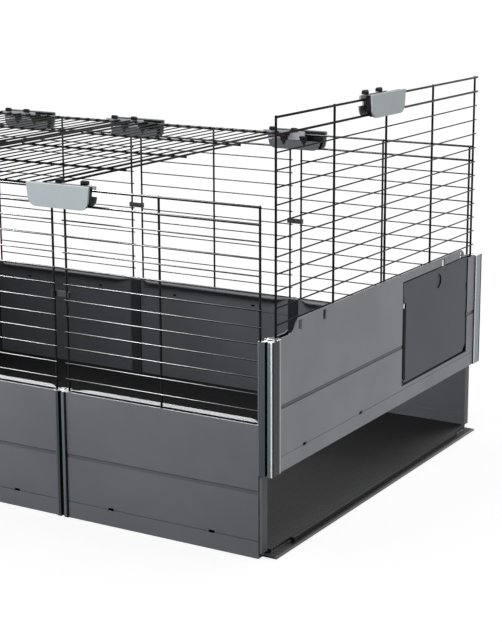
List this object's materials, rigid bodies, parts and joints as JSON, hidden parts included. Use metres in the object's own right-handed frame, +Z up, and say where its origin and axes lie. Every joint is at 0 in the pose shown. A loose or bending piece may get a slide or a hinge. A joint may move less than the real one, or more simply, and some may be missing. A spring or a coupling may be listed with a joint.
{
  "type": "small animal cage",
  "caption": "Modular pet cage: plastic wall panels on floor trays, wire grilles and hinged roof lids, sliding top clips, and an end wall with a door, shown slid up.",
  "frame": {"origin": "on the ground, under the middle of the bounding box", "axes": "X along the cage with the sliding end wall at +X, Y from front to back, Z up"},
  "size_m": [1.0892, 0.734, 0.6305],
  "materials": {
    "panel": "mid grey moulded plastic",
    "end_panel": "grey moulded plastic",
    "door": "darker grey moulded plastic",
    "profile": "grey-green extruded plastic",
    "floor": "black moulded plastic",
    "wire": "black coated steel wire",
    "hinge_bar": "black plastic",
    "clip_cover": "silver-grey plastic",
    "clip_core": "black plastic",
    "slider": "light grey plastic",
    "mid_clip": "grey plastic"
  },
  "bodies": {
    "base": {"floor_tray_left": "floor", "front_panel_left": "panel", "front_grille_left": "wire", "back_panel_left": "panel", "back_grille_left": "wire", "floor_tray_middle": "floor", "front_panel_middle": "panel", "front_grille_middle": "wire", "back_panel_middle": "panel", "back_grille_middle": "wire", "floor_tray_right": "floor", "front_panel_right": "panel", "front_grille_right": "wire", "back_panel_right": "panel", "back_grille_right": "wire", "front_connector_left": "profile", "front_mid_clip_left": "mid_clip", "corner_post_front_left": "profile", "back_connector_left": "profile", "back_mid_clip_left": "mid_clip", "corner_post_back_left": "profile", "end_panel_left": "end_panel", "end_grille_left": "wire", "front_connector_right": "profile", "front_mid_clip_right": "mid_clip", "back_connector_right": "profile", "back_mid_clip_right": "mid_clip", "front_clip_left_cover": "clip_cover", "front_clip_left_core": "clip_core", "front_clip_right_cover": "clip_cover", "front_clip_right_core": "clip_core", "back_clip_side_cover": "clip_cover", "back_clip_side_core": "clip_core", "back_clip_left_cover": "clip_cover", "back_clip_left_core": "clip_core", "back_clip_right_cover": "clip_cover", "back_clip_right_core": "clip_core", "end_clip_left_cover": "clip_cover", "end_clip_left_core": "clip_core"},
    "right_end_wall": {"end_panel_right": "end_panel", "corner_post_front_right": "profile", "corner_post_back_right": "profile", "door_hinge_bar": "hinge_bar", "end_grille_right": "wire", "end_clip_right_cover": "clip_cover", "end_clip_right_core": "clip_core"},
    "door": {"door": "door"},
    "lid_middle": {"lid_middle": "wire"},
    "lid_left": {"lid_left": "wire"},
    "front_clip_left_slider": {"front_clip_left_slider": "slider"},
    "front_clip_right_slider": {"front_clip_right_slider": "slider"},
    "back_clip_side_slider": {"back_clip_side_slider": "slider"},
    "back_clip_left_slider": {"back_clip_left_slider": "slider"},
    "back_clip_right_slider": {"back_clip_right_slider": "slider"},
    "end_clip_left_slider": {"end_clip_left_slider": "slider"},
    "end_clip_right_slider": {"end_clip_right_slider": "slider"}
  },
  "joints": [
    {"name": "end_wall_slide", "type": "slide", "parent": "base", "child": "right_end_wall", "axis": [0, 0, 1], "range_m": [-0.12, 0.05]},
    {"name": "door_hinge", "type": "hinge", "parent": "right_end_wall", "child": "door", "pos_m": [0.5309, 0.0615, 0.2], "axis": [0, 0, -1], "range_deg": [0, 110]},
    {"name": "lid_middle_hinge", "type": "hinge", "parent": "base", "child": "lid_middle", "pos_m": [0, 0.3385, 0.4985], "axis": [-1, 0, 0], "range_deg": [0, 95]},
    {"name": "lid_left_hinge", "type": "hinge", "parent": "base", "child": "lid_left", "pos_m": [-0.35, 0.3385, 0.4985], "axis": [-1, 0, 0], "range_deg": [0, 95]},
    {"name": "front_clip_left_slide", "type": "slide", "parent": "base", "child": "front_clip_left_slider", "axis": [-1, 0, 0], "range_m": [0, 0.045]},
    {"name": "front_clip_right_slide", "type": "slide", "parent": "base", "child": "front_clip_right_slider", "axis": [-1, 0, 0], "range_m": [0, 0.045]},
    {"name": "back_clip_side_slide", "type": "slide", "parent": "base", "child": "back_clip_side_slider", "axis": [1, 0, 0], "range_m": [0, 0.045]},
    {"name": "back_clip_left_slide", "type": "slide", "parent": "base", "child": "back_clip_left_slider", "axis": [1, 0, 0], "range_m": [0, 0.045]},
    {"name": "back_clip_right_slide", "type": "slide", "parent": "base", "child": "back_clip_right_slider", "axis": [1, 0, 0], "range_m": [0, 0.045]},
    {"name": "end_clip_left_slide", "type": "slide", "parent": "base", "child": "end_clip_left_slider", "axis": [0, -1, 0], "range_m": [0, 0.045]},
    {"name": "end_clip_right_slide", "type": "slide", "parent": "right_end_wall", "child": "end_clip_right_slider", "axis": [0, 1, 0], "range_m": [0, 0.045]}
  ]
}
